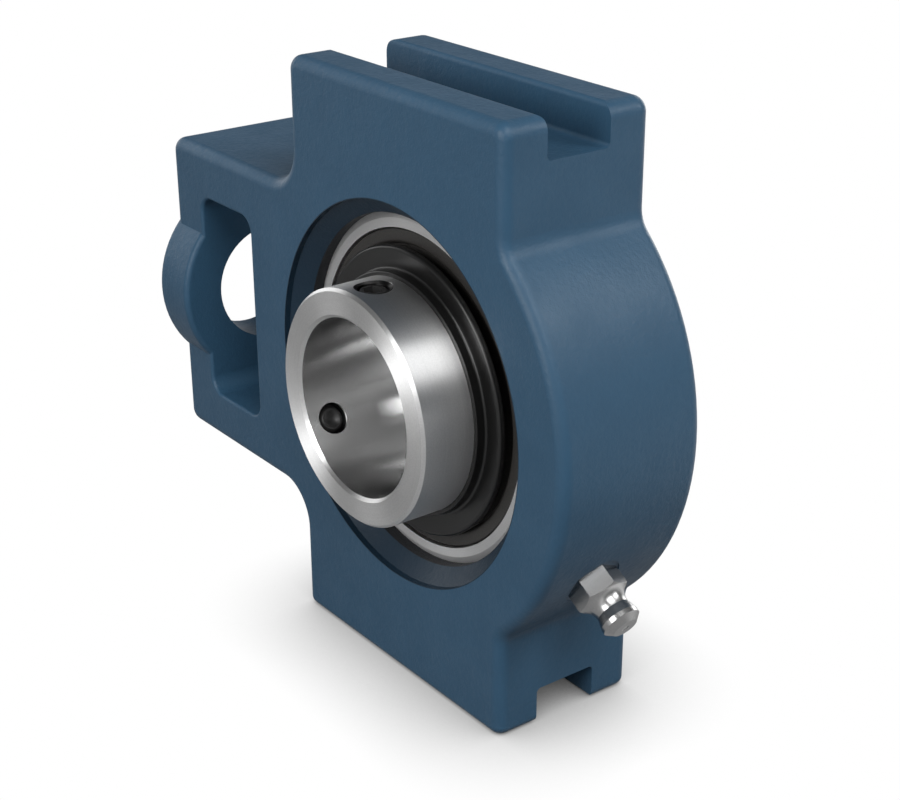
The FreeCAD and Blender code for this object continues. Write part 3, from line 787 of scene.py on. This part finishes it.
def make_world(scene, studio):
    """White where it is seen, a low white backdrop in a dim room where it is mirrored, and an even light."""
    world = bpy.data.worlds.new("studio")
    world.use_nodes = True
    tree = world.node_tree
    background = tree.nodes["Background"]
    height = coordinates(tree, tree.nodes.new("ShaderNodeTexCoord").outputs["Generated"])[2]
    backdrop = ramp(tree, height, studio.room_start, studio.backdrop_top)
    white = opaque(grey(1.0))
    room = blended(tree, backdrop, opaque(grey(studio.room_mirrored)), white)
    tone = seen_as(tree, opaque(grey(studio.room_light)), room, white)
    wire(tree, tone, background.inputs["Color"])
    scene.world = world


def make_lamps():
    """Soft lamps aimed at the unit, each given by its place, its size and its power in watts."""
    lamps = (
        ("key", (0.66, -0.20, 0.76), (0.60, 0.60), 7.4),        # above on the right
        ("strip", (0.42, 0.20, 0.70), (0.14, 0.90), 0.5),       # long and narrow, above
        ("sheen", (0.52, 0.40, 0.45), (0.25, 0.25), 2.0),       # behind on the right
        ("fill", (0.06, -0.36, 0.15), (0.20, 0.20), 1.05),      # in front
        ("low", (0.38, -0.40, 0.03), (0.30, 0.30), 0.15),       # in front on the right, low down
        ("side", (-0.60, -0.10, 0.14), (0.40, 0.40), 0.8),      # on the left
        ("back", (-0.22, 0.62, 0.10), (0.40, 0.40), 1.8),       # behind
    )
    for name, place, size, power in lamps:
        data = bpy.data.lights.new(name, "AREA")
        data.shape = "RECTANGLE"
        data.size, data.size_y = size
        data.energy = power
        lamp = bpy.data.objects.new(name, data)
        lamp.location = place
        lamp.visible_camera = False
        lamp.rotation_mode = "QUATERNION"
        away = Vector(place).normalized()
        side = AXIS.cross(away).normalized()
        lamp.rotation_quaternion = Matrix((side, away.cross(side), away)).transposed().to_quaternion()
        bpy.context.scene.collection.objects.link(lamp)


class TAKEUP_OT_housing(BuildOperator, Operator):
    """Paint the cast housing"""
    bl_idname = "takeup.housing"
    bl_label = "Housing"

    def execute(self, context):
        mesh = closed_copy("housing", "cast_housing")
        handed_over("cast_housing", mesh, "housing", "housing_paint", "housing")
        return {"FINISHED"}


class TAKEUP_OT_rings(BuildOperator, Operator):
    """Finish the outer and the inner ring"""
    bl_idname = "takeup.rings"
    bl_label = "Rings"

    def execute(self, context):
        dress("outer_ring")
        dress("inner_ring")
        return {"FINISHED"}


class TAKEUP_OT_seals(BuildOperator, Operator):
    """Make the seals and the flingers on both sides"""
    bl_idname = "takeup.seals"
    bl_label = "Seals and flingers"

    def execute(self, context):
        insert = context.scene.takeup_insert
        for place, side in (("front", -1), ("rear", 1)):
            seal, flinger = "seal_" + place, "flinger_" + place
            low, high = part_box(seal)
            out, back = max(-low.y, high.y), min(abs(low.y), abs(high.y))
            points, bends = seal_outline(insert, inner_ring_r, high.x, out, back)
            shape = turned(on_side(points, side), bends)
            new_piece("rubber_" + seal, shape, "outer_ring", "seal_rubber", seal)
            low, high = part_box(flinger)
            hub_end = max(-low.y, high.y)
            rim_edge = outer_ring_half_width + insert.rim_gap
            points, bends = flinger_outline(insert, inner_ring_r, high.x, hub_end, rim_edge)
            shape = turned(on_side(points, side), bends)
            new_piece("pressed_" + flinger, shape, "inner_ring", "flinger_black", flinger)
        return {"FINISHED"}


class TAKEUP_OT_balls(BuildOperator, Operator):
    """Finish the balls and their cage"""
    bl_idname = "takeup.balls"
    bl_label = "Balls and cage"

    def execute(self, context):
        dress("cage")
        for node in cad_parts:
            if node.startswith("ball_"):
                dress(node)
        return {"FINISHED"}


class TAKEUP_OT_screws(BuildOperator, Operator):
    """Make the two locking screws"""
    bl_idname = "takeup.screws"
    bl_label = "Locking screws"

    def execute(self, context):
        screw = context.scene.takeup_screws
        low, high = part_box("locking_screw_1")
        for number in (1, 2):
            shape = screw_shape(screw, high.x, high.z - low.z)
            place = Matrix.Translation((0, (low.y + high.y) / 2, low.z))
            turn = Matrix.Rotation(-screw.spacing * (number - 1), 4, "Y")
            bmesh.ops.transform(shape, matrix=turn @ place, verts=shape.verts[:])
            node = "locking_screw_%d" % number
            new_piece("set_screw_%d" % number, shape, node, "screw_black", node)
        return {"FINISHED"}


class TAKEUP_OT_nipple(BuildOperator, Operator):
    """Finish the grease nipple, its check ball and its spring"""
    bl_idname = "takeup.nipple"
    bl_label = "Grease nipple"

    def execute(self, context):
        for node in ("grease_nipple", "nipple_check_ball"):
            dress(node)
        mesh = closed_copy("nipple_spring", "coil_spring")
        spring = handed_over("coil_spring", mesh, "housing", "spring_steel", "nipple_spring")
        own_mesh(spring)
        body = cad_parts["grease_nipple"]
        body.visible_diffuse = body.visible_glossy = False      # throws no bright smear onto the paint
        return {"FINISHED"}


class TAKEUP_PT_panel(Panel):
    """Panel with the unit's settings and build steps"""
    bl_idname = "TAKEUP_PT_panel"
    bl_label = "Take up bearing unit"
    bl_space_type = "VIEW_3D"
    bl_region_type = "UI"
    bl_category = "Bearing unit"

    def draw(self, context):
        layout = self.layout
        for name, group, operators in sections:
            box = layout.box()
            settings = getattr(context.scene, name)
            for label in group.__annotations__:
                box.prop(settings, label)
            for operator in operators:
                box.operator(operator.bl_idname)


# The name of each group of settings, the group, and the operators that use it
sections = (
    ("takeup_studio", StudioSettings, (TAKEUP_OT_stage,)),
    ("takeup_paint", PaintSettings, (TAKEUP_OT_housing,)),
    ("takeup_insert", InsertSettings, (TAKEUP_OT_rings, TAKEUP_OT_seals, TAKEUP_OT_balls)),
    ("takeup_screws", ScrewSettings, (TAKEUP_OT_screws,)),
    ("takeup_nipple", NippleSettings, (TAKEUP_OT_nipple,)),
)

classes = (
    *(group for _, group, _ in sections),
    *(operator for _, _, operators in sections for operator in operators),
    TAKEUP_PT_panel,
)


def register():
    """Register the classes and hang the settings on the scene."""
    for cls in classes:
        bpy.utils.register_class(cls)
    for name, group, _ in sections:
        setattr(bpy.types.Scene, name, PointerProperty(type=group))


def unregister():
    """Take away what register added."""
    for name, _, _ in sections:
        delattr(bpy.types.Scene, name)
    for cls in reversed(classes):
        bpy.utils.unregister_class(cls)


def main():
    """Build the whole unit."""
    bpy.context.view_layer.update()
    register()
    bpy.ops.takeup.stage()
    bpy.ops.takeup.housing()
    bpy.ops.takeup.rings()
    bpy.ops.takeup.seals()
    bpy.ops.takeup.balls()
    bpy.ops.takeup.screws()
    bpy.ops.takeup.nipple()
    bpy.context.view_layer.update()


if __name__ == "__main__":
    main()
